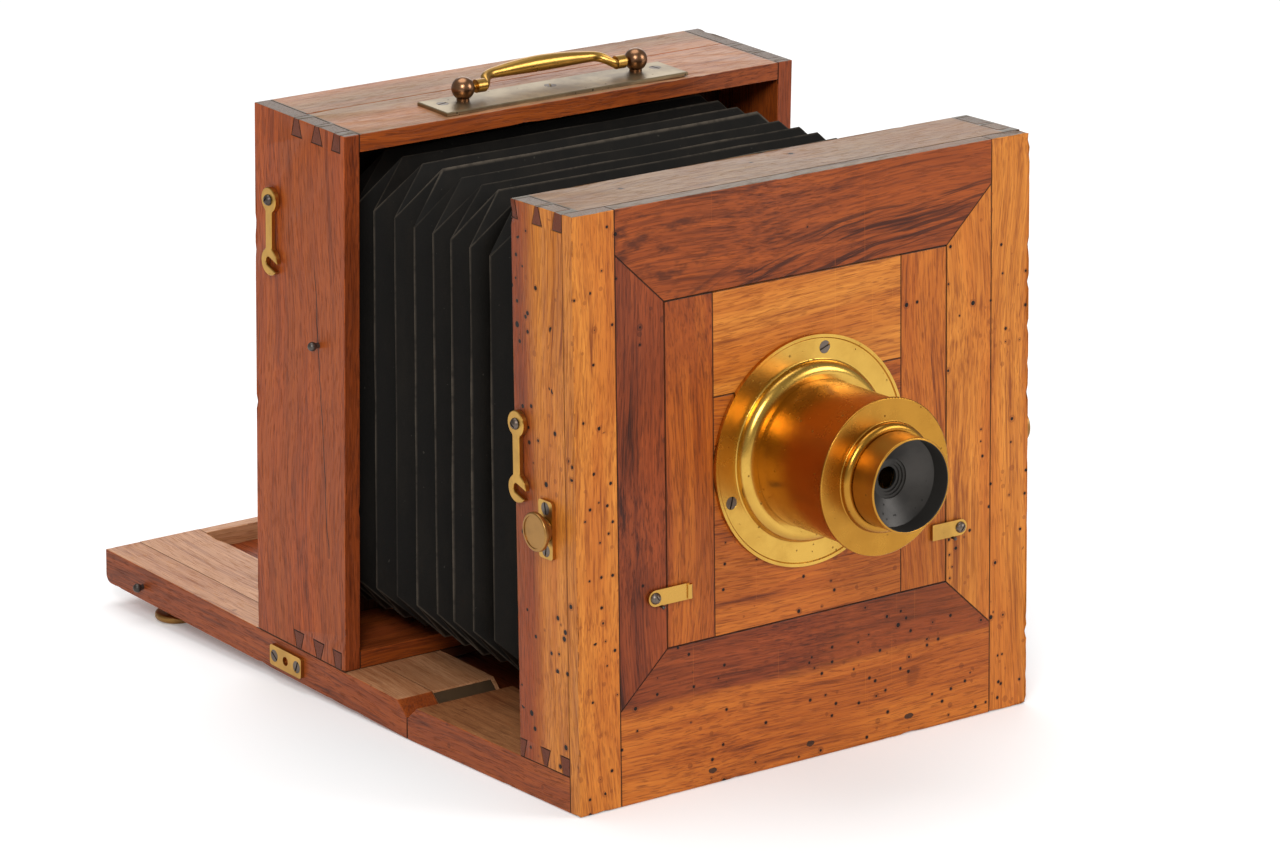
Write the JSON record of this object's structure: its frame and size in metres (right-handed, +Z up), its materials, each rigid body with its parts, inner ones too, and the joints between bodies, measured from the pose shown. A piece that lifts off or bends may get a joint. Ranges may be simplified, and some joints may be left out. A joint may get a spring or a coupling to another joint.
{
  "type": "tailboard view camera",
  "caption": "Wooden plate camera with brass lens, square leather bellows, sliding rear box on a folding tailboard, side hooks and a top handle.",
  "frame": {"origin": "mouth of the tripod bush, in the underside of the front bed, on the camera's middle plane", "axes": "+X to the right seen from the front, +Y from the lens to the back, +Z up; the lens looks along -Y"},
  "size_m": [0.3125, 0.535, 0.3305],
  "materials": {
    "wood_golden": "satin, worn varnish",
    "wood_red": "satin, worn varnish",
    "wood_pale": "dull, bleached",
    "brass": "old lacquer, tarnished",
    "brass_orange": "old lacquer",
    "steel": "dull, a little rusted",
    "copper_brown": "dull, browned",
    "leather_black": "matt, worn on the folds",
    "blackened": "matt black",
    "lens_glass": "polished",
    "ground_glass": "ground on one side"
  },
  "bodies": {
    "base": {"bed_boards": "wood_golden", "bed_panel": "wood_red", "tripod_bush": "brass", "front_side_left": "wood_golden", "front_side_right": "wood_golden", "front_top_board": "wood_pale", "front_bottom_board": "wood_red", "face_stiles": "wood_golden", "face_mitred_stiles": "wood_golden", "face_rails": "wood_red", "lens_board_cleats": "wood_red", "lens_board_lower": "wood_red", "lens_board_upper": "wood_golden", "front_bellows_frame": "wood_red", "lens_flange": "brass_orange", "countersunk_screws": "steel", "round_head_screws": "steel", "stop_pins": "brass", "thumb_plates": "brass", "bed_hinge_leaves": "brass", "bellows": "leather_black"},
    "lens_barrel": {"lens_barrel": "brass_orange", "front_collar": "brass_orange", "lens_cell": "blackened", "achromat_lenses": "lens_glass"},
    "hood": {"hood": "brass_orange", "washer_stop": "steel"},
    "turn_button_left": {"turn_button_left": "brass"},
    "turn_button_right": {"turn_button_right": "brass"},
    "hook_front_left": {"hook_front_left": "brass"},
    "hook_front_right": {"hook_front_right": "brass"},
    "hook_rear_left": {"hook_rear_left": "brass"},
    "hook_rear_right": {"hook_rear_right": "brass"},
    "thumb_screw_left": {"thumb_screw_left": "brass"},
    "thumb_screw_right": {"thumb_screw_right": "brass"},
    "tailboard": {"tail_rails": "wood_pale", "tail_boards": "wood_pale", "tail_end_strip": "wood_red", "tail_floor": "wood_pale", "tail_hinge_leaves": "brass", "tail_plates": "brass", "tail_plate_screws": "steel", "tail_catch_pins": "brass", "tail_feet": "brass"},
    "rear_frame": {"rear_side_left": "wood_red", "rear_side_right": "wood_red", "rear_top_boards": "wood_pale", "rear_bottom_board": "wood_red", "rear_runner": "wood_red", "rear_bellows_frame": "wood_red", "rear_hook_screws": "steel", "rear_catch_pins": "brass", "handle_plate": "brass", "handle_plate_screws": "steel", "handle_posts": "copper_brown", "back_hinge_box_leaves": "brass"},
    "handle": {"handle_grip": "brass"},
    "glass_frame": {"glass_frame": "wood_red", "ground_glass": "ground_glass", "back_hinge_frame_leaves": "brass"}
  },
  "joints": [
    {"name": "tail_hinge", "type": "hinge", "parent": "base", "child": "tailboard", "pos_m": [0, 0.0635, 0.0114], "axis": [1, 0, 0], "range_deg": [-2.39, 10]},
    {"name": "rear_slide", "type": "slide", "parent": "tailboard", "child": "rear_frame", "axis": [0, 0.9991, 0.0418], "range_m": [-0.055, 0.147], "deforming": ["bellows"]},
    {"name": "handle_swing", "type": "hinge", "parent": "rear_frame", "child": "handle", "pos_m": [0, 0.13009, 0.32185], "axis": [1, 0, 0], "range_deg": [0, 150]},
    {"name": "glass_frame_hinge", "type": "hinge", "parent": "rear_frame", "child": "glass_frame", "pos_m": [0, 0.19609, 0.30665], "axis": [1, 0, 0], "range_deg": [0, 110]},
    {"name": "barrel_turn", "type": "hinge", "parent": "base", "child": "lens_barrel", "pos_m": [0, -0.09, 0.165], "axis": [0, -1, 0], "continuous": true},
    {"name": "hood_pull", "type": "slide", "parent": "lens_barrel", "child": "hood", "axis": [0, -1, 0], "range_m": [0, 0.018]},
    {"name": "turn_button_left_pivot", "type": "hinge", "parent": "base", "child": "turn_button_left", "pos_m": [-0.0982, -0.09, 0.106], "axis": [0, -1, 0], "range_deg": [0, 100]},
    {"name": "hook_front_left_pivot", "type": "hinge", "parent": "base", "child": "hook_front_left", "pos_m": [-0.147, -0.044, 0.195], "axis": [1, 0, 0], "range_deg": [-15, 315]},
    {"name": "hook_rear_left_pivot", "type": "hinge", "parent": "rear_frame", "child": "hook_rear_left", "pos_m": [-0.147, 0.17732, 0.26718], "axis": [1, 0, 0], "continuous": true},
    {"name": "thumb_screw_left_turn", "type": "hinge", "parent": "base", "child": "thumb_screw_left", "pos_m": [-0.145, -0.0666, 0.1452], "axis": [1, 0, 0], "continuous": true},
    {"name": "turn_button_right_pivot", "type": "hinge", "parent": "base", "child": "turn_button_right", "pos_m": [0.0982, -0.09, 0.106], "axis": [0, 1, 0], "range_deg": [0, 100]},
    {"name": "hook_front_right_pivot", "type": "hinge", "parent": "base", "child": "hook_front_right", "pos_m": [0.147, -0.044, 0.195], "axis": [1, 0, 0], "range_deg": [-15, 315]},
    {"name": "hook_rear_right_pivot", "type": "hinge", "parent": "rear_frame", "child": "hook_rear_right", "pos_m": [0.147, 0.17732, 0.26718], "axis": [1, 0, 0], "continuous": true},
    {"name": "thumb_screw_right_turn", "type": "hinge", "parent": "base", "child": "thumb_screw_right", "pos_m": [0.145, -0.0666, 0.1452], "axis": [1, 0, 0], "continuous": true}
  ]
}
